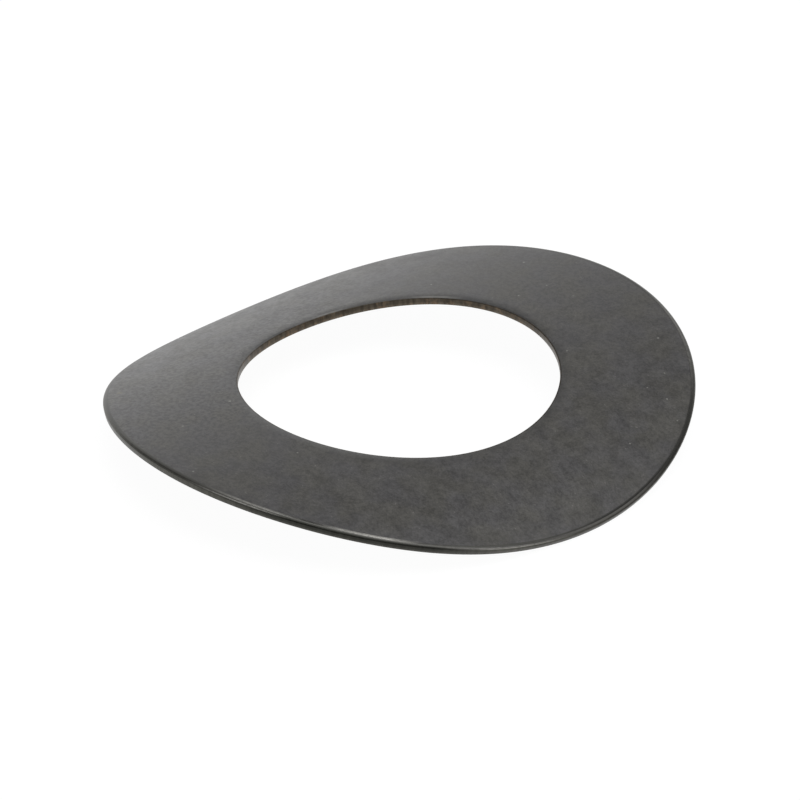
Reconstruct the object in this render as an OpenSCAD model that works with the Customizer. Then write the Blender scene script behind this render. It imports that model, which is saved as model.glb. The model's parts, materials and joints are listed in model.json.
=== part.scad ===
// Curved spring washer: one closed ring of thin spring steel.
// The ring is blanked flat. The cut rolls the rim's upper edge over and draws
// the sheet down a little round the hole. It shears the next band of the wall
// clean, and tears the last one, which leans back a little. The ring is then
// pressed into an arch, and lies on its two low ends with the crest on top.
// The crest runs along Y, the arch spans X, and the origin is under the
// middle, on the surface it lies on.

/* [Ring] */
// Outside diameter of the flat blank
outer_d = 45; // [32:0.5:80]
// Diameter of the hole in the flat blank
hole_d = 24.4; // [6:0.1:38]
// Thickness of the sheet
sheet_t = 0.6; // [0.4:0.05:1.5]

/* [Arch] */
// Bend radius of the sheet's middle layer along the crest
crest_bend_r = 77; // [40:1:400]
// Bend radius of the sheet's middle layer at the two low ends
end_bend_r = 22.5; // [18:0.5:200]

/* [Edges] */
// Width of the shoulder that the cut rolls onto the rim's upper edge
rim_roll_w = 0.4; // [0.06:0.01:0.6]
// Depth of the shoulder on the rim
rim_roll_h = 0.2; // [0.04:0.01:0.3]
// Width of the shallow dip that the cut draws round the hole
hole_dip_w = 0.9; // [0.2:0.05:2]
// Depth of the dip at the hole's wall
hole_dip_h = 0.07; // [0.02:0.01:0.2]
// Share of the cut wall below the shoulder that is torn, not sheared
torn_share = 0.6; // [0.2:0.05:0.8]
// How far the torn band leans back from the sheared one
torn_lean = 0.02; // [0:0.005:0.06]
// Radius of both edges on the underside
under_edge_r = 0.05; // [0.03:0.01:0.2]

/* [Smoothness] */
// Steps round the ring
ring_steps = 96; // [48:4:120]
// Strips across the width of the ring
width_steps = 8; // [6:1:12]
// Facets on each rounded edge
edge_steps = 3; // [2:1:3]
// Facets across the dip round the hole
dip_steps = 4; // [2:1:6]

/* [Hidden] */
steel_grey = [0.30, 0.30, 0.29];
outer_r = outer_d / 2;
hole_r = hole_d / 2;
half_t = sheet_t / 2;
rim_flat_r = outer_r - rim_roll_w;
hole_flat_r = hole_r + hole_dip_w;
rim_under_r = outer_r - torn_lean - under_edge_r;
hole_under_r = hole_r + torn_lean + under_edge_r;
// Height where the cut wall ends, and where it goes over from sheared to torn
wall_end_h = under_edge_r - half_t;
rim_break_h = wall_end_h + torn_share * (sheet_t - rim_roll_h - under_edge_r);
hole_break_h = wall_end_h + torn_share * (sheet_t - hole_dip_h - under_edge_r);
// How much tighter than the crest the bend becomes, per square of the length
tightening = (1 / end_bend_r - 1 / crest_bend_r) / pow(outer_r, 2);
// Short steps in which the arch's curve is summed
arc_steps = 24;

function total(values) = values * [for (value = values) 1];

// Slope of the sheet, in degrees, at the length s from the crest
function slope(s) = (s / crest_bend_r + tightening * pow(s, 3) / 3) * 180 / PI;

// Slopes at the middle of each short step from the crest out to s
function slopes(s) = [for (i = [0.5 : arc_steps]) slope(s * i / arc_steps)];

// Reach and drop of the middle layer at the length s from the crest
function reach(s) = s / arc_steps * total([for (a = slopes(s)) cos(a)]);
function drop(s) = s / arc_steps * total([for (a = slopes(s)) sin(a)]);

// A point of the flat ring, at height h in the sheet, carried onto the arch
function arched(r, h, turn) =
    let (s = r * cos(turn), a = slope(s))
    [reach(s) + h * sin(a), r * sin(turn), h * cos(a) - drop(s)];

// A quarter of an oval in the section, from the angle start and on clockwise
function quarter(r, h, wide, deep, start) =
    [for (i = [0 : edge_steps])
        let (a = start - 90 * i / edge_steps)
        [r + wide * cos(a), h + deep * sin(a)]];

// The dip round the hole: a shallow parabola from the wall up to the flat
function dip() =
    [for (i = [0 : dip_steps])
        let (far = 1 - i / dip_steps)
        [hole_flat_r - hole_dip_w * far, half_t - hole_dip_h * pow(far, 2)]];

// Points between two radii at one height in the sheet
function strip(from_r, to_r, h) =
    [for (i = [1 : width_steps - 1]) [from_r + (to_r - from_r) * i / width_steps, h]];

// The ring's section, as radius and height, clockwise from the hole's wall
section = concat(
    [[hole_r, hole_break_h]],
    dip(),
    strip(hole_flat_r, rim_flat_r, half_t),
    quarter(rim_flat_r, half_t - rim_roll_h, rim_roll_w, rim_roll_h, 90),
    [[outer_r, rim_break_h]],
    quarter(rim_under_r, wall_end_h, under_edge_r, under_edge_r, 0),
    strip(rim_under_r, hole_under_r, -half_t),
    quarter(hole_under_r, wall_end_h, under_edge_r, under_edge_r, -90)
);
section_size = len(section);

// Each step begins half a step on, so that both low ends lie on a short
// straight edge, and not on the corner between two
ring_points = [
    for (i = [0 : ring_steps - 1])
        for (p = section)
            arched(p[0], p[1], 360 * (i + 0.5) / ring_steps)
];
lowest_z = min([for (p = ring_points) p[2]]);

// Number of a point, counted round the ring and round its section
function at(i, j) = (i % ring_steps) * section_size + j % section_size;

ring_faces = [
    for (i = [0 : ring_steps - 1])
        for (j = [0 : section_size - 1])
            for (face = [
                [at(i, j), at(i + 1, j), at(i + 1, j + 1)],
                [at(i, j), at(i + 1, j + 1), at(i, j + 1)]
            ])
                face
];

module washer() {
    color(steel_grey)
        translate([0, 0, -lowest_z])
            polyhedron(points = ring_points, faces = ring_faces, convexity = 6);
}

washer();
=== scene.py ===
import json
import math
import bmesh
import bpy
from mathutils import Matrix, Vector


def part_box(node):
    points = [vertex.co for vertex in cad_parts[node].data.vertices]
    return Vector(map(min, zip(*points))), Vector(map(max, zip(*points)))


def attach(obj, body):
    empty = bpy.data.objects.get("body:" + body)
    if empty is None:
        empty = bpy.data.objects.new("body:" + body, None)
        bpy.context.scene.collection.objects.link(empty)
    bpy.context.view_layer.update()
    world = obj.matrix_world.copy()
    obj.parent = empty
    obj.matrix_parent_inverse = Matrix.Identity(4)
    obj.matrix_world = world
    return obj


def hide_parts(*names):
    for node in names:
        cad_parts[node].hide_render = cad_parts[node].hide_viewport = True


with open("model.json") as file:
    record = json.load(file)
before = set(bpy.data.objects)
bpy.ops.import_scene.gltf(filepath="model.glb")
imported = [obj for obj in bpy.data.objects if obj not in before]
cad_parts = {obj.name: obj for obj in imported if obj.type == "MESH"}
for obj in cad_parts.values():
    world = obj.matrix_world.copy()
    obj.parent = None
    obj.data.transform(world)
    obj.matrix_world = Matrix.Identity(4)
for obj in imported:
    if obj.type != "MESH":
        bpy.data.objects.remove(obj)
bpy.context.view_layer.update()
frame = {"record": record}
mm = 0.001
boxHigh = Vector(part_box("washer")[1])
holeMount = next(mount for mount in frame["record"]["mounts"] if mount["name"] == "centre_hole")
print("frame loaded")


# camera

viewValues = {
    "azimuth": 49.5,                    # degrees round from the front, 0 looks along +Y
    "elevation": 29.21,                 # degrees above the floor
    "roll": 1.675,                      # degrees that the picture is turned against the clock
    "distance": 990 * mm,               # from the camera to the middle of the crest
    "pixelsPerMm": 13.228,              # at that distance
    "crestPixel": (398.81, 373.69),     # where the middle of the crest falls in the picture
    "pictureWidth": 800,                # pixels
    "sensorWidth": 36,                  # mm
    "seenReach": (0.05, 20),            # metres, nearest and farthest that the camera sees
}


def makeCamera(values, crestPoint):
    azimuth, elevation, roll = (math.radians(values[key]) for key in ("azimuth", "elevation", "roll"))
    away = Vector((-math.sin(azimuth), math.cos(azimuth), 0))
    right = Vector((math.cos(azimuth), math.sin(azimuth), 0))
    forward = away * math.cos(elevation) - Vector((0, 0, math.sin(elevation)))
    up = away * math.sin(elevation) + Vector((0, 0, math.cos(elevation)))
    rolledRight = right * math.cos(roll) - up * math.sin(roll)
    rolledUp = right * math.sin(roll) + up * math.cos(roll)
    half = values["pictureWidth"] / 2
    stepRight, stepDown = ((half - pixel) / values["pixelsPerMm"] * mm for pixel in values["crestPixel"])
    target = crestPoint + rolledRight * stepRight - rolledUp * stepDown
    pixelsAcross = values["pixelsPerMm"] / mm * values["distance"]
    camera = bpy.data.objects.new("camera", bpy.data.cameras.new("camera"))
    bpy.context.scene.collection.objects.link(camera)
    camera.location = target - forward * values["distance"]
    camera.rotation_euler = Matrix((rolledRight, rolledUp, -forward)).transposed().to_euler()
    camera.data.sensor_width = values["sensorWidth"]
    camera.data.lens = pixelsAcross / values["pictureWidth"] * values["sensorWidth"]
    camera.data.clip_start, camera.data.clip_end = values["seenReach"]
    bpy.context.scene.camera = camera


# node helpers, for geometry trees and for materials

def plug(tree, target, value):
    if isinstance(value, bpy.types.NodeSocket):
        tree.links.new(value, target)
    else:
        target.default_value = value


def addNode(tree, kind, inputs=None, **settings):
    node = tree.nodes.new(kind)
    for name, value in settings.items():
        setattr(node, name, value)
    for key, value in (inputs or {}).items():
        plug(tree, node.inputs[key], value)
    return node


def calc(tree, operation, *values):
    node = addNode(tree, "ShaderNodeMath", operation=operation)
    for target, value in zip(node.inputs, values):
        plug(tree, target, value)
    return node.outputs[0]


def ramp(tree, value, low, high, outLow=0.0, outHigh=1.0):
    # goes softly from outLow to outHigh while the value goes from low to high
    node = addNode(tree, "ShaderNodeMapRange", {"Value": value, "From Min": low, "From Max": high,
                   "To Min": outLow, "To Max": outHigh}, interpolation_type="SMOOTHSTEP")
    return node.outputs["Result"]


def vector(tree, x, y, z):
    return addNode(tree, "ShaderNodeCombineXYZ", {"X": x, "Y": y, "Z": z}).outputs[0]


def flatRadius(tree, x, y):
    return calc(tree, "SQRT", calc(tree, "MULTIPLY_ADD", x, x, calc(tree, "MULTIPLY", y, y)))


def noise(tree, place, size, detail=2.0, roughness=0.5):
    node = addNode(tree, "ShaderNodeTexNoise", {"Vector": place, "Scale": 1 / size,
                   "Detail": detail, "Roughness": roughness})
    return node.outputs[0]


# washer shape

ringValues = {
    "rimRadius": boxHigh.y,                 # of the flat blank
    "holeRadius": holeMount["dims"]["r_mm"] * mm,
    "sheetThickness": holeMount["dims"]["length_mm"] * mm,
    "crestBendRadius": 77 * mm,
    "endBendRadius": 22.5 * mm,
    "rimRoll": (0.40 * mm, 0.20 * mm),      # width and depth of the rolled shoulder
    "holeDip": (0.90 * mm, 0.07 * mm),      # width and depth of the shallow dip round the hole
    "holeCorner": 0.03 * mm,                # radius of the hole's upper edge
    "tornShare": 0.6,                       # of the cut wall, the rest is sheared clean
    "tornLean": 0.02 * mm,                  # how far the torn wall leans back
    "underEdge": 0.05 * mm,                 # radius of the lower edge
    "stripsAcross": 14,
    "stepsRound": 1200,
    "markDepth": 0.006 * mm,                # of the upright marks on the cut walls
    "markWidth": 0.30 * mm,
    "markSquash": 0.2,                      # the noise is squashed in height, so the marks stand upright
    "markReach": (0.08 * mm, 0.02 * mm),    # depth behind the wall, from no mark to the full mark
    "unevenness": 0.006 * mm,               # of the sheet
    "waveSize": 4 * mm,                     # of the unevenness
    "weldDistance": 0.0001 * mm,
}


def quarter(width, depth, steps):
    # a quarter of an oval from the flat to the wall: ways in from the wall, and falls below the flat
    angles = [math.pi / 2 * (1 - i / steps) for i in range(steps + 1)]
    return [(width * (1 - math.cos(angle)), depth * (1 - math.sin(angle))) for angle in angles]


def rollPoints(edge, outwards, roll, half):
    steps = 8
    return [(edge - outwards * way, half - fall) for way, fall in quarter(*roll, steps)]


def dipPoints(edge, outwards, dip, corner, half):
    # a shallow parabola from the flat top, then a small round corner
    width, depth = dip
    steps, cornerSteps = 8, 3
    ways = [width - (width - 2 * corner) * i / steps for i in range(steps + 1)] + [corner]
    points = [(edge - outwards * way, half - depth * (1 - way / width) ** 2) for way in ways]
    low = points[-1][1]
    for way, fall in quarter(corner, corner, cornerSteps)[1:]:
        points.append((edge - outwards * way, low - fall))
    return points


def sideOfSection(edge, outwards, top, depth, values):
    # from the flat top over the shoulder and down the cut wall to the flat underside
    half = values["sheetThickness"] / 2
    under, lean = values["underEdge"], values["tornLean"]
    wallTop, wallEnd = top[-1][1], under - half
    breakHeight = wallEnd + values["tornShare"] * (2 * half - depth - under)
    shearedSteps, tornSteps, underSteps = 3, 4, 3
    points = list(top)
    for i in range(1, shearedSteps + 1):
        points.append((edge, wallTop + (breakHeight - wallTop) * i / shearedSteps))
    for i in range(1, tornSteps + 1):
        height = breakHeight + (wallEnd - breakHeight) * i / tornSteps
        points.append((edge - outwards * lean * i / tornSteps, height))
    for way, fall in quarter(under, under, underSteps)[-2::-1]:
        points.append((edge - outwards * (lean + way), fall - half))
    return points


def makeSection(values, middle):
    half, rimRadius, holeRadius = values["sheetThickness"] / 2, values["rimRadius"], values["holeRadius"]
    rimTop = rollPoints(rimRadius, 1, values["rimRoll"], half)
    holeTop = dipPoints(holeRadius, -1, values["holeDip"], values["holeCorner"], half)
    rim = sideOfSection(rimRadius, 1, rimTop, values["rimRoll"][1], values)
    hole = sideOfSection(holeRadius, -1, holeTop, values["holeDip"][1], values)[::-1]
    steps = values["stripsAcross"]

    def between(start, end):
        return [(start[0] + (end[0] - start[0]) * i / steps, start[1]) for i in range(1, steps)]

    points = rim + between(rim[-1], hole[0]) + hole + between(hole[-1], rim[0])
    curve = bpy.data.curves.new("section", "CURVE")
    curve.dimensions = "3D"
    spline = curve.splines.new("POLY")
    spline.points.add(len(points) - 1)
    for point, (radius, height) in zip(spline.points, points):
        point.co = (radius - middle, -height, 0, 1)     # the sweep turns the section over
    spline.use_cyclic_u = True
    section = bpy.data.objects.new("section", curve)
    bpy.context.scene.collection.objects.link(section)
    return section


def archPosition(tree, place, crestBend, endBend, rim, lift, thickness, halfLength):
    # wraps the flat blank on the arch: the bend tightens from the crest towards both ends
    flat = addNode(tree, "ShaderNodeSeparateXYZ", {"Vector": place})
    along, height = flat.outputs["X"], flat.outputs["Z"]
    crestCurve = calc(tree, "DIVIDE", 1.0, crestBend)
    endCurve = calc(tree, "DIVIDE", 1.0, endBend)
    tightening = calc(tree, "SUBTRACT", endCurve, crestCurve)
    growth = calc(tree, "DIVIDE", tightening, calc(tree, "MULTIPLY", rim, rim))

    def slopeAt(length):
        cubed = calc(tree, "MULTIPLY", calc(tree, "POWER", length, 3.0), growth)
        return calc(tree, "MULTIPLY_ADD", length, crestCurve, calc(tree, "DIVIDE", cubed, 3.0))

    reach, drop = 0.0, 0.0
    spread = math.sqrt(0.6) / 2     # three Gauss points sum the curve's cosine and sine
    for share, weight in ((0.5 - spread, 5 / 18), (0.5, 8 / 18), (0.5 + spread, 5 / 18)):
        angle = slopeAt(calc(tree, "MULTIPLY", along, share))
        reach = calc(tree, "MULTIPLY_ADD", calc(tree, "COSINE", angle), weight, reach)
        drop = calc(tree, "MULTIPLY_ADD", calc(tree, "SINE", angle), weight, drop)
    angle = slopeAt(along)
    out = calc(tree, "MULTIPLY", along, reach)
    fall = calc(tree, "MULTIPLY", along, drop)
    x = calc(tree, "MULTIPLY_ADD", calc(tree, "SINE", angle), height, out)
    raised = calc(tree, "MULTIPLY_ADD", calc(tree, "COSINE", angle), height, lift)
    z = calc(tree, "SUBTRACT", raised, fall)
    # the unevenness stays inside the solid's length and height
    leftEnd = calc(tree, "MULTIPLY", halfLength, -1.0)
    x = calc(tree, "MINIMUM", calc(tree, "MAXIMUM", x, leftEnd), halfLength)
    crestTop = calc(tree, "MULTIPLY_ADD", thickness, 0.5, lift)
    z = calc(tree, "MINIMUM", calc(tree, "MAXIMUM", z, 0.0), crestTop)
    return vector(tree, x, flat.outputs["Y"], z)


def workedPosition(tree, flat, given, values):
    # upright marks that the cut leaves on both walls, and a sheet that is not quite even
    x, y, height = addNode(tree, "ShaderNodeSeparateXYZ", {"Vector": flat}).outputs
    radius = flatRadius(tree, x, y)
    rimSide = ramp(tree, calc(tree, "SUBTRACT", given["Rim Radius"], radius), *values["markReach"])
    holeSide = ramp(tree, calc(tree, "SUBTRACT", radius, given["Hole Radius"]), *values["markReach"])
    upright = vector(tree, x, y, calc(tree, "MULTIPLY", height, values["markSquash"]))
    markNode = addNode(tree, "ShaderNodeTexNoise", {"Vector": upright, "Detail": 2.0,
                       "Scale": calc(tree, "DIVIDE", 1.0, given["Mark Width"])})
    # the noise spans about half of its range and hardly ever passes the peak
    noisePeak, noiseGain = 0.75, 2.0
    mark = calc(tree, "SUBTRACT", markNode.outputs[0], noisePeak)
    push = calc(tree, "MULTIPLY", calc(tree, "MULTIPLY", mark, calc(tree, "ADD", rimSide, holeSide)),
                calc(tree, "MULTIPLY", given["Mark Depth"], noiseGain))
    stretch = calc(tree, "ADD", 1.0, calc(tree, "DIVIDE", push, radius))
    wave = calc(tree, "SUBTRACT", noise(tree, flat, values["waveSize"]), 0.5)
    uneven = calc(tree, "MULTIPLY_ADD", wave, given["Unevenness"], height)
    return vector(tree, calc(tree, "MULTIPLY", x, stretch), calc(tree, "MULTIPLY", y, stretch), uneven)


def makeRingTree(sockets, values):
    tree = bpy.data.node_groups.new("archedRing", "GeometryNodeTree")
    for name, socket in sockets.items():
        tree.interface.new_socket(name=name, in_out="INPUT", socket_type="NodeSocket" + socket[0])
    tree.interface.new_socket(name="Geometry", in_out="OUTPUT", socket_type="NodeSocketGeometry")
    given = addNode(tree, "NodeGroupInput").outputs
    section = addNode(tree, "GeometryNodeObjectInfo", {"Object": given["Section"]})
    circle = addNode(tree, "GeometryNodeCurvePrimitiveCircle",
                     {"Resolution": given["Steps Round"], "Radius": given["Middle Radius"]})
    sweep = addNode(tree, "GeometryNodeCurveToMesh",
                    {"Curve": circle.outputs["Curve"], "Profile Curve": section.outputs["Geometry"]})
    flat = addNode(tree, "GeometryNodeInputPosition").outputs[0]
    kept = addNode(tree, "GeometryNodeStoreNamedAttribute",
                   {"Geometry": sweep.outputs[0], "Name": "blank", "Value": flat},
                   data_type="FLOAT_VECTOR", domain="POINT")
    worked = workedPosition(tree, flat, given, values)
    arched = archPosition(tree, worked, given["Crest Bend Radius"], given["End Bend Radius"],
                          given["Rim Radius"], given["Crest Height"], given["Thickness"],
                          given["Half Length"])
    bent = addNode(tree, "GeometryNodeSetPosition", {"Geometry": kept.outputs[0], "Position": arched})
    smooth = addNode(tree, "GeometryNodeSetShadeSmooth", {"Geometry": bent.outputs[0]})
    real = addNode(tree, "GeometryNodeRealizeInstances", {"Geometry": smooth.outputs[0]})
    painted = addNode(tree, "GeometryNodeSetMaterial",
                      {"Geometry": real.outputs[0], "Material": given["Steel"]})
    addNode(tree, "NodeGroupOutput", {"Geometry": painted.outputs[0]})
    return tree


def makeRing(values, steel):
    middle = (values["rimRadius"] + values["holeRadius"]) / 2
    section = makeSection(values, middle)
    sockets = {
        "Section": ("Object", section),
        "Steps Round": ("Int", values["stepsRound"]),
        "Middle Radius": ("Float", middle),
        "Rim Radius": ("Float", values["rimRadius"]),
        "Hole Radius": ("Float", values["holeRadius"]),
        "Crest Bend Radius": ("Float", values["crestBendRadius"]),
        "End Bend Radius": ("Float", values["endBendRadius"]),
        "Crest Height": ("Float", boxHigh.z - values["sheetThickness"] / 2),
        "Thickness": ("Float", values["sheetThickness"]),
        "Half Length": ("Float", boxHigh.x),
        "Mark Depth": ("Float", values["markDepth"]),
        "Mark Width": ("Float", values["markWidth"]),
        "Unevenness": ("Float", values["unevenness"]),
        "Steel": ("Material", steel),
    }
    tree = makeRingTree(sockets, values)
    carrier = bpy.data.objects.new("carrier", bpy.data.meshes.new("carrier"))
    bpy.context.scene.collection.objects.link(carrier)
    modifier = carrier.modifiers.new("ring", "NODES")
    modifier.node_group = tree
    for socket in tree.interface.items_tree:
        if socket.in_out == "INPUT":
            modifier[socket.identifier] = sockets[socket.name][1]
    shown = carrier.evaluated_get(bpy.context.evaluated_depsgraph_get())
    mesh = bpy.data.meshes.new_from_object(shown)
    carrier.modifiers.clear()
    for helper in (carrier, section):
        bpy.data.objects.remove(helper)
    ring = bpy.data.objects.new("springRing", mesh)
    mesh.name = "springRing"
    bpy.context.scene.collection.objects.link(ring)
    welded = bmesh.new()
    welded.from_mesh(mesh)
    bmesh.ops.remove_doubles(welded, verts=welded.verts, dist=values["weldDistance"])
    bmesh.ops.recalc_face_normals(welded, faces=welded.faces)
    welded.to_mesh(mesh)
    welded.free()
    return ring


# steel

steelValues = {
    # spans of a noise, from where it counts as low to where it counts as high
    "wideSpan": (0.3, 0.7),
    "middleSpan": (0.35, 0.65),
    # the face: clouds of two greys, mottle, a cloth-like weave and a fine grain
    "oliveGrey": (0.0572, 0.0540, 0.0472, 1),
    "slateGrey": (0.0542, 0.0520, 0.0528, 1),
    "faceRoughness": (0.34, 0.44),
    "oilIor": 1.65,
    "cloudSize": 3.2 * mm,
    "mottleSize": 1.1 * mm,
    "mottleLightness": (0.80, 1.10),
    "mottleGloss": (0.475, 0.525),
    "weaveSize": 0.34 * mm,
    "weaveContrast": 0.15,
    "weaveGloss": 0.16,                         # share of the weave that shows in the gloss
    "stainedArc": (-155, 75, 30),               # angle, reach and full reach, in degrees
    "stainedContrast": 2.2,                     # how much stronger the weave is there
    "grainSize": 0.14 * mm,
    "grainLightness": (-0.16, 0.18),
    "grainDepth": 0.006 * mm,
    "grainStrength": 0.5,
    # painted shade round the hole: the face is painted darker close to the hole's wall
    "paintedHoleShadeReach": (0.10 * mm, 1.0 * mm),       # from the hole's wall, over which the face gets lighter
    "paintedHoleShadeLightness": 0.70,
    # pale dust, pale flecks and one olive stain; flecks and stain have their place
    # on the flat blank and their size in mm
    "paleDust": (0.190, 0.187, 0.172, 1),
    "dustSize": 0.20 * mm,
    "dustSpan": (0.70, 0.80),
    "dustyMottle": (0.45, 0.60),                # dust lies on the light parts of the mottle
    "dustStrength": 0.6,
    "flecks": ((-6.5, 18.5, 0.12), (-9.2, 11.4, 0.10), (-2.2, 17.0, 0.10), (-2.5, 14.4, 0.10),
               (9.1, 18.2, 0.12), (15.1, 13.7, 0.11), (-5.0, -17.2, 0.12), (1.0, -21.3, 0.11),
               (-5.5, -12.1, 0.16), (4.1, -13.7, 0.10), (12.7, 15.6, 0.09), (13.3, 13.3, 0.08),
               (17.3, 12.8, 0.08), (17.4, 7.9, 0.10), (6.2, 11.5, 0.10)),
    "stain": (-14.1, -15.8, 0.30),
    "stainOlive": (0.060, 0.052, 0.022, 1),
    # cut walls and shoulders
    "shoulderGrey": (0.075, 0.074, 0.069, 1),
    "shoulderRoughness": 0.36,
    # painted light: the rim's shoulder colour is made paler round this arc
    "paintedLightShoulderArc": (-90, 32, 10),           # degrees, where the rim's shoulder is paler
    "paintedLightShoulder": 1.9,
    "upperFade": 0.06 * mm,                     # above the sheet's middle, where its colour fades in
    "wallReach": (0.10 * mm, 0.05 * mm),        # depth behind the wall where its colour fades in
    "wallBand": (0.30 * mm, 0.55 * mm),         # below the upper side, from its high to its low colour
    "wallRoughness": 0.36,
    "streakSize": 0.32 * mm,                    # of the upright streaks on the walls
    "streakSquash": 0.25,
    "rimLow": (0.080, 0.078, 0.069, 1),
    # painted shade: the upper part of the rim's wall is painted darker, only round one arc
    "rimHighPaintedShade": (0.038, 0.038, 0.033, 1),        # only in the dark arc
    "paintedShadeWallArc": (-50, 30, 14),
    "holeLip": 0.10 * mm,                       # width of the hole's bright upper edge
    "holeLow": (0.114, 0.098, 0.075, 1),
    "holeHigh": (0.068, 0.057, 0.044, 1),
    "holeRust": (0.148, 0.107, 0.072, 1),
    "rustSize": 0.60 * mm,
    "rustSpan": (0.50, 0.68),
    "highRust": 0.5,                            # share of the rust on the wall's upper part
    # lines along the edges: bare steel wear placed to give painted highlights, painted shade and pale
    # painted light
    "bareSteelAndHighlight": (0.460, 0.450, 0.425, 1),
    # painted shade for the dark lines along the edges
    "paintedShadeGrey": (0.022, 0.022, 0.020, 1),
    # pale painted light, not metal, for the dull line along the rim
    "paintedLightGrey": (0.125, 0.121, 0.110, 1),
    "rubSize": 0.5 * mm,                        # the lines of wear and painted highlight are rubbed unevenly
    "rubSpan": (0.30, 0.60),
    "rubStrength": (0.65, 1.0),
}

# wallEnd: heights across the edge over which the shoulder takes the wall's colour; streaks: their
# strength; lines of bare steel wear placed to give painted highlights, lines of painted shade and
# lines of pale painted light: angle round the ring and reach in degrees, height across the edge and
# half width in mm, strength. The height is 0 at the sharp corner that the cut took off, less on the
# wall and more on the face.
rimMarks = {
    "wallEnd": (0.18 * mm, 0.06 * mm),
    "streaks": 0.15,
    # bare steel wear on the rim, placed where it gives painted highlights
    "wearAndHighlightLine": ((-47, 11, 0.37, 0.15, 1.0), (-71, 12, 0.30, 0.13, 0.75), (-75, 13, -0.02, 0.11, 0.75),
             (-88, 14, -0.08, 0.13, 0.16), (-18, 17, 0.07, 0.13, 0.58), (62, 22, 0.28, 0.13, 0.40),
             (140, 15, 0.30, 0.13, 0.35), (176, 12, 0.28, 0.13, 0.45)),
    # lines of painted shade on the rim
    "paintedShadeLine": ((12, 22, 0.37, 0.13, 0.65), (-48, 24, 0.05, 0.13, 0.80), (8, 24, -0.38, 0.21, 0.75)),
    # a pale line of painted light on the rim, not metal
    "paintedLightLine": ((4, 22, 0.16, 0.15, 0.80),),
}
holeMarks = {
    "wallEnd": (0.03 * mm, -0.05 * mm),
    "streaks": 0.30,
    # bare steel wear round the hole, placed where it gives painted highlights
    "wearAndHighlightLine": ((126, 12, 0.18, 0.22, 0.35), (165, 9, 0.15, 0.20, 0.28)),
    # lines of painted shade round the hole
    "paintedShadeLine": ((190, 17, 0.14, 0.22, 0.55), (92, 20, 0.12, 0.14, 0.25)),
    "paintedLightLine": (),
}

markCore = 0.4      # share of a spot's or a line's half width that has the full colour
lineCore = 0.2      # share of a line's reach that has the full colour
softShare = 0.15    # of a shoulder's width, over which its colour fades in and out


def mixColour(tree, share, first, second):
    node = addNode(tree, "ShaderNodeMix", {0: share}, data_type="RGBA")
    plug(tree, node.inputs[6], first)
    plug(tree, node.inputs[7], second)
    return node.outputs[2]


def mixNumber(tree, share, first, second):
    return addNode(tree, "ShaderNodeMix", {0: share, 2: first, 3: second}).outputs[0]


def dimmed(tree, colour, *factors):
    for factor in factors:
        grey = vector(tree, factor, factor, factor)
        product = addNode(tree, "ShaderNodeVectorMath", {0: colour, 1: grey}, operation="MULTIPLY")
        colour = product.outputs[0]
    return colour


def readBlank(tree, values, ring):
    # where a point lies on the flat blank, which the shape keeps as an attribute
    point = addNode(tree, "ShaderNodeAttribute", attribute_name="blank").outputs["Vector"]
    x, y, height = addNode(tree, "ShaderNodeSeparateXYZ", {"Vector": point}).outputs
    radius = flatRadius(tree, x, y)
    top = ring["sheetThickness"] / 2
    return {
        "point": point,
        "upright": vector(tree, x, y, calc(tree, "MULTIPLY", height, values["streakSquash"])),
        "height": height,
        "top": top,
        "fallen": calc(tree, "SUBTRACT", top, height),
        "turn": calc(tree, "DEGREES", calc(tree, "ARCTAN2", y, x)),
        "fromRim": calc(tree, "SUBTRACT", ring["rimRadius"], radius),
        "fromHole": calc(tree, "SUBTRACT", radius, ring["holeRadius"]),
    }


def arcShare(tree, blank, angle, reach, full):
    # 1 within full degrees of the angle round the ring, 0 beyond reach degrees
    offset = calc(tree, "RADIANS", calc(tree, "SUBTRACT", blank["turn"], angle))
    away = calc(tree, "DEGREES", calc(tree, "ARCCOSINE", calc(tree, "COSINE", offset)))
    return ramp(tree, away, reach, full)


def edgeLines(tree, blank, across, lines):
    total = 0.0
    for angle, reach, place, width, strength in lines:
        aside = calc(tree, "ABSOLUTE", calc(tree, "SUBTRACT", across, place * mm))
        beside = ramp(tree, aside, width * mm, width * markCore * mm)
        share = calc(tree, "MULTIPLY", arcShare(tree, blank, angle, reach, reach * lineCore), beside)
        total = calc(tree, "MULTIPLY_ADD", share, strength, total)
    return total


def spot(tree, blank, place):
    x, y, size = (value * mm for value in place)
    away = addNode(tree, "ShaderNodeVectorMath", {0: blank["point"], 1: (x, y, blank["top"])},
                   operation="DISTANCE").outputs["Value"]
    return ramp(tree, away, size, size * markCore)


def weavePattern(tree, blank, values):
    weave = noise(tree, blank["point"], values["weaveSize"], detail=3.0, roughness=0.6)
    contrast = values["weaveContrast"]
    stainedArc = arcShare(tree, blank, *values["stainedArc"])
    stained = ramp(tree, stainedArc, 0.0, 1.0, 1.0, values["stainedContrast"])
    return calc(tree, "MULTIPLY", ramp(tree, weave, *values["middleSpan"], -contrast, contrast), stained)


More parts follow.
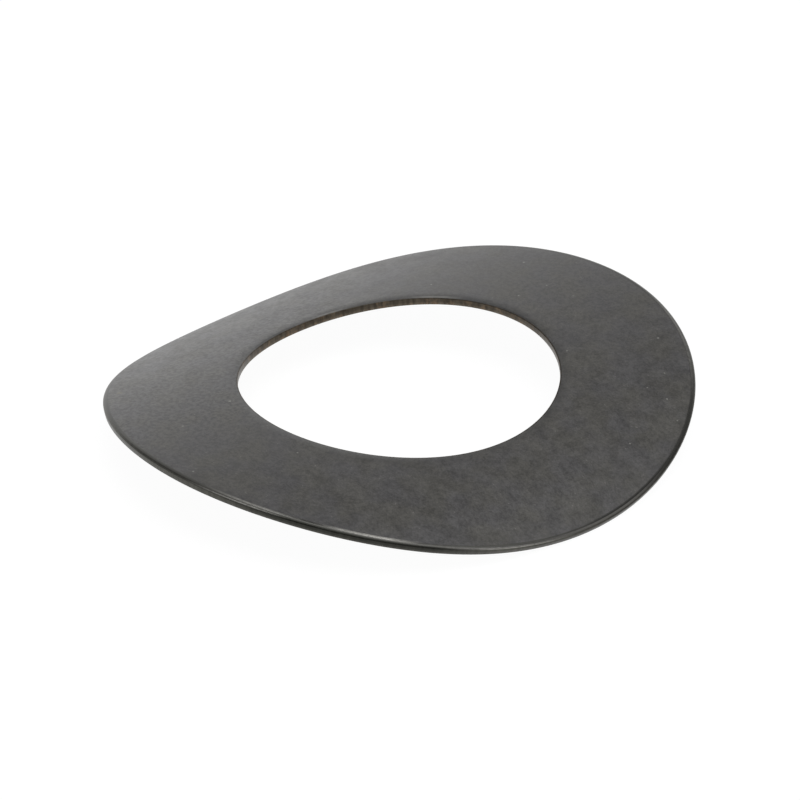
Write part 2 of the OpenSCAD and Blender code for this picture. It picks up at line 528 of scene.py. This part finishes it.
def paintFace(tree, blank, values, mottle, weave, grain):
    cloud = noise(tree, blank["point"], values["cloudSize"], detail=3.0, roughness=0.55)
    cloud = ramp(tree, cloud, *values["middleSpan"])
    colour = mixColour(tree, cloud, values["oliveGrey"], values["slateGrey"])
    colour = mixColour(tree, spot(tree, blank, values["stain"]), colour, values["stainOlive"])
    mottled = ramp(tree, mottle, *values["wideSpan"], *values["mottleLightness"])
    grained = ramp(tree, grain, *values["wideSpan"], *values["grainLightness"])
    lightness = calc(tree, "ADD", calc(tree, "ADD", mottled, grained), weave)
    # painted shade: the face is painted darker close to the hole's wall
    paintedHoleShade = ramp(tree, blank["fromHole"], *values["paintedHoleShadeReach"], values["paintedHoleShadeLightness"], 1.0)
    specks = ramp(tree, noise(tree, blank["point"], values["dustSize"], detail=1.0), *values["dustSpan"])
    dusty = ramp(tree, mottle, *values["dustyMottle"], 0.0, values["dustStrength"])
    dust = calc(tree, "MULTIPLY", specks, dusty)
    for fleck in values["flecks"]:
        dust = calc(tree, "MAXIMUM", dust, spot(tree, blank, fleck))
    return mixColour(tree, dust, dimmed(tree, colour, lightness, paintedHoleShade), values["paleDust"])


def cutEdge(tree, blank, values, marks, inwards, shoulderWidth, low, high, shoulderColour):
    # the cut wall, whose colour goes over the shoulder's lower part too, and the shoulder
    across = calc(tree, "SUBTRACT", inwards, blank["fallen"])
    upper = ramp(tree, blank["height"], 0.0, values["upperFade"])
    shoulder = ramp(tree, inwards, shoulderWidth * (1 + softShare), shoulderWidth * (1 - softShare))
    shoulder = calc(tree, "MULTIPLY", shoulder, upper)
    beside = calc(tree, "MULTIPLY", shoulder, ramp(tree, across, *marks["wallEnd"]))
    wall = calc(tree, "MAXIMUM", ramp(tree, inwards, *values["wallReach"]), beside)
    wallColour = mixColour(tree, ramp(tree, blank["fallen"], *values["wallBand"]), high, low)
    streak = noise(tree, blank["upright"], values["streakSize"], detail=3.0, roughness=0.6)
    strength = marks["streaks"]
    streaked = ramp(tree, streak, *values["wideSpan"], 1 - strength, 1 + strength)
    wallColour = dimmed(tree, wallColour, streaked)
    return {
        "whole": calc(tree, "MAXIMUM", shoulder, wall),
        "wall": wall,
        "colour": mixColour(tree, wall, shoulderColour, wallColour),
        # the three lines below: bare steel wear placed to give painted highlights, painted shade, and
        # pale painted light
        "wearAndHighlightLine": edgeLines(tree, blank, across, marks["wearAndHighlightLine"]),
        "paintedShadeLine": edgeLines(tree, blank, across, marks["paintedShadeLine"]),
        "paintedLightLine": edgeLines(tree, blank, across, marks["paintedLightLine"]),
    }


def makeRimEdge(tree, blank, values, ring):
    # painted shade on the upper part of the rim's wall round one arc
    paintedShadeWall = arcShare(tree, blank, *values["paintedShadeWallArc"])
    high = mixColour(tree, paintedShadeWall, values["rimLow"], values["rimHighPaintedShade"])
    # painted light on the rim's shoulder round one arc
    paintedLightArc = arcShare(tree, blank, *values["paintedLightShoulderArc"])
    paintedLightFactor = ramp(tree, paintedLightArc, 0.0, 1.0, 1.0, values["paintedLightShoulder"])
    shoulderColour = dimmed(tree, values["shoulderGrey"][:3], paintedLightFactor)
    return cutEdge(tree, blank, values, rimMarks, blank["fromRim"], ring["rimRoll"][0],
                   values["rimLow"], high, shoulderColour)


def makeHoleEdge(tree, blank, values):
    rust = noise(tree, blank["point"], values["rustSize"], detail=3.0, roughness=0.6)
    rust = ramp(tree, rust, *values["rustSpan"])
    highRust = calc(tree, "MULTIPLY", rust, values["highRust"])
    low = mixColour(tree, rust, values["holeLow"], values["holeRust"])
    high = mixColour(tree, highRust, values["holeHigh"], values["holeRust"])
    return cutEdge(tree, blank, values, holeMarks, blank["fromHole"], values["holeLip"],
                   low, high, values["shoulderGrey"])


def makeSteel(values, ring):
    steel = bpy.data.materials.new("oiledSpringSteel")
    steel.use_nodes = True
    tree = steel.node_tree
    tree.nodes.clear()
    shader = addNode(tree, "ShaderNodeBsdfPrincipled")
    addNode(tree, "ShaderNodeOutputMaterial", {"Surface": shader.outputs[0]})
    blank = readBlank(tree, values, ring)
    mottle = noise(tree, blank["point"], values["mottleSize"], detail=6.0, roughness=0.65)
    weave = weavePattern(tree, blank, values)
    grain = noise(tree, blank["point"], values["grainSize"])
    rim = makeRimEdge(tree, blank, values, ring)
    hole = makeHoleEdge(tree, blank, values)

    colour = paintFace(tree, blank, values, mottle, weave, grain)
    for edge in (rim, hole):
        colour = mixColour(tree, edge["whole"], colour, edge["colour"])
    # lines of bare steel wear that give painted highlights, lines of painted shade and lines of pale
    # painted light
    wearAndHighlightLine, paintedShadeLine, paintedLightLine = (calc(tree, "ADD", rim[kind], hole[kind]) for kind in ("wearAndHighlightLine", "paintedShadeLine", "paintedLightLine"))
    rubbed = noise(tree, blank["point"], values["rubSize"], detail=3.0, roughness=0.6)
    wearAndHighlightLine = calc(tree, "MULTIPLY", wearAndHighlightLine, ramp(tree, rubbed, *values["rubSpan"], *values["rubStrength"]))
    for share, line in ((wearAndHighlightLine, "bareSteelAndHighlight"), (paintedShadeLine, "paintedShadeGrey"), (paintedLightLine, "paintedLightGrey")):
        colour = mixColour(tree, share, colour, values[line])
    plug(tree, shader.inputs["Base Color"], colour)

    edges = calc(tree, "MAXIMUM", rim["whole"], hole["whole"])
    metal = calc(tree, "MAXIMUM", edges, calc(tree, "MAXIMUM", wearAndHighlightLine, paintedShadeLine))
    # the pale painted light is not metal
    notPaintedLightLine = calc(tree, "SUBTRACT", 1.0, paintedLightLine)
    plug(tree, shader.inputs["Metallic"], calc(tree, "MULTIPLY", metal, notPaintedLightLine))
    gloss = ramp(tree, mottle, *values["wideSpan"], *values["mottleGloss"])
    gloss = calc(tree, "MULTIPLY_ADD", weave, values["weaveGloss"], gloss)
    plug(tree, shader.inputs["Specular IOR Level"], gloss)
    shader.inputs["IOR"].default_value = values["oilIor"]
    walls = calc(tree, "MAXIMUM", rim["wall"], hole["wall"])
    rough = ramp(tree, mottle, *values["wideSpan"], *values["faceRoughness"])
    rough = mixNumber(tree, metal, rough, values["shoulderRoughness"])
    rough = mixNumber(tree, walls, rough, values["wallRoughness"])
    plug(tree, shader.inputs["Roughness"], rough)
    bump = addNode(tree, "ShaderNodeBump", {"Height": grain, "Distance": values["grainDepth"],
                   "Strength": values["grainStrength"]})
    plug(tree, shader.inputs["Normal"], bump.outputs[0])
    return steel


# floor, backdrop and lights

studioValues = {
    "floorSize": 12,            # metres
    "floorColour": (0.8, 0.8, 0.8, 1),
    "floorSeenLevel": 1.04,     # where 1 is white
    "floorSeenShade": 0.08,     # the part of it that takes shadow
    "backdropAzimuth": 229.6,   # the white backdrop stands behind the washer
    "backdropReach": (65, 30),  # degrees to each side, from the grey room to the full backdrop
    "backdropLevel": 1.22,      # where 1 is white
    "roomLevel": 0.29,
    "wallTop": 10,              # degrees up to which backdrop and room are at full level
    "ceilingFrom": 41,          # degrees from which it is as dim as the ceiling
    "ceilingLevel": 0.25,
    "softboxes": {              # azimuth, elevation, distance, size, brightness where 1 is white
        "overhead": (105, 81, 1.2, 1.05, 2.5),
        "right": (100, 16, 1.2, 0.40, 2.5),
    },
}


def seenDirectly(tree):
    path = addNode(tree, "ShaderNodeLightPath").outputs
    seen = calc(tree, "MAXIMUM", path["Is Camera Ray"], path["Is Glossy Ray"])
    return calc(tree, "MAXIMUM", seen, path["Is Transmission Ray"])


def makeFloor(values):
    half = values["floorSize"] / 2
    corners = [(-half, -half, 0), (half, -half, 0), (half, half, 0), (-half, half, 0)]
    mesh = bpy.data.meshes.new("floor")
    mesh.from_pydata(corners, [], [(0, 1, 2, 3)])
    floor = bpy.data.objects.new("floor", mesh)
    bpy.context.scene.collection.objects.link(floor)
    paper = bpy.data.materials.new("whitePaper")
    paper.use_nodes = True
    tree = paper.node_tree
    tree.nodes.clear()
    plain = addNode(tree, "ShaderNodeBsdfDiffuse", {"Color": values["floorColour"]})
    shade = values["floorSeenShade"]
    dim = addNode(tree, "ShaderNodeBsdfDiffuse", {"Color": (shade, shade, shade, 1)})
    glow = addNode(tree, "ShaderNodeEmission", {"Strength": values["floorSeenLevel"] - shade})
    seen = addNode(tree, "ShaderNodeAddShader", {0: dim.outputs[0], 1: glow.outputs[0]})
    mix = addNode(tree, "ShaderNodeMixShader",
                  {0: seenDirectly(tree), 1: plain.outputs[0], 2: seen.outputs[0]})
    addNode(tree, "ShaderNodeOutputMaterial", {"Surface": mix.outputs[0]})
    mesh.materials.append(paper)


def makeWorld(values):
    world = bpy.data.worlds.new("studio")
    bpy.context.scene.world = world
    world.use_nodes = True
    tree = world.node_tree
    tree.nodes.clear()
    direction = addNode(tree, "ShaderNodeTexCoord").outputs["Generated"]
    x, y, rise = addNode(tree, "ShaderNodeSeparateXYZ", {"Vector": direction}).outputs
    flat = addNode(tree, "ShaderNodeVectorMath", {0: vector(tree, x, y, 0.0)}, operation="NORMALIZE")
    azimuth = math.radians(values["backdropAzimuth"])
    towards = (math.sin(azimuth), -math.cos(azimuth), 0)
    facing = addNode(tree, "ShaderNodeVectorMath", {0: flat.outputs[0], 1: towards},
                     operation="DOT_PRODUCT").outputs["Value"]
    far, near = (math.cos(math.radians(angle)) for angle in values["backdropReach"])
    walls = ramp(tree, facing, far, near, values["roomLevel"], values["backdropLevel"])
    low, high = (math.sin(math.radians(values[key])) for key in ("wallTop", "ceilingFrom"))
    around = ramp(tree, rise, low, high, walls, values["ceilingLevel"])
    seen = addNode(tree, "ShaderNodeLightPath").outputs["Is Camera Ray"]
    strength = calc(tree, "MAXIMUM", seen, around)
    sky = addNode(tree, "ShaderNodeBackground", {"Color": (1, 1, 1, 1), "Strength": strength})
    addNode(tree, "ShaderNodeOutputWorld", {"Surface": sky.outputs[0]})


def makeSoftboxes(values):
    for name, (azimuth, elevation, distance, size, brightness) in values["softboxes"].items():
        turn, rise = math.radians(azimuth), math.radians(elevation)
        aim = Vector((math.sin(turn) * math.cos(rise), -math.cos(turn) * math.cos(rise), math.sin(rise)))
        lamp = bpy.data.lights.new(name, "AREA")
        lamp.shape = "SQUARE"
        lamp.size = size
        lamp.energy = math.pi * size * size * brightness    # watts that make it look this bright
        softbox = bpy.data.objects.new(name, lamp)
        bpy.context.scene.collection.objects.link(softbox)
        softbox.location = aim * distance
        softbox.rotation_euler = aim.to_track_quat("Z", "Y").to_euler()
        softbox.visible_camera = False


bpy.context.scene.view_settings.view_transform = "Standard"
makeCamera(viewValues, Vector((0, 0, boxHigh.z - ringValues["sheetThickness"] / 2)))
makeFloor(studioValues)
makeWorld(studioValues)
makeSoftboxes(studioValues)
print("camera, floor and lights placed")

steel = makeSteel(steelValues, ringValues)
ring = makeRing(ringValues, steel)
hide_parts("washer")
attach(ring, "root")
print("ring made:", len(ring.data.polygons), "faces")
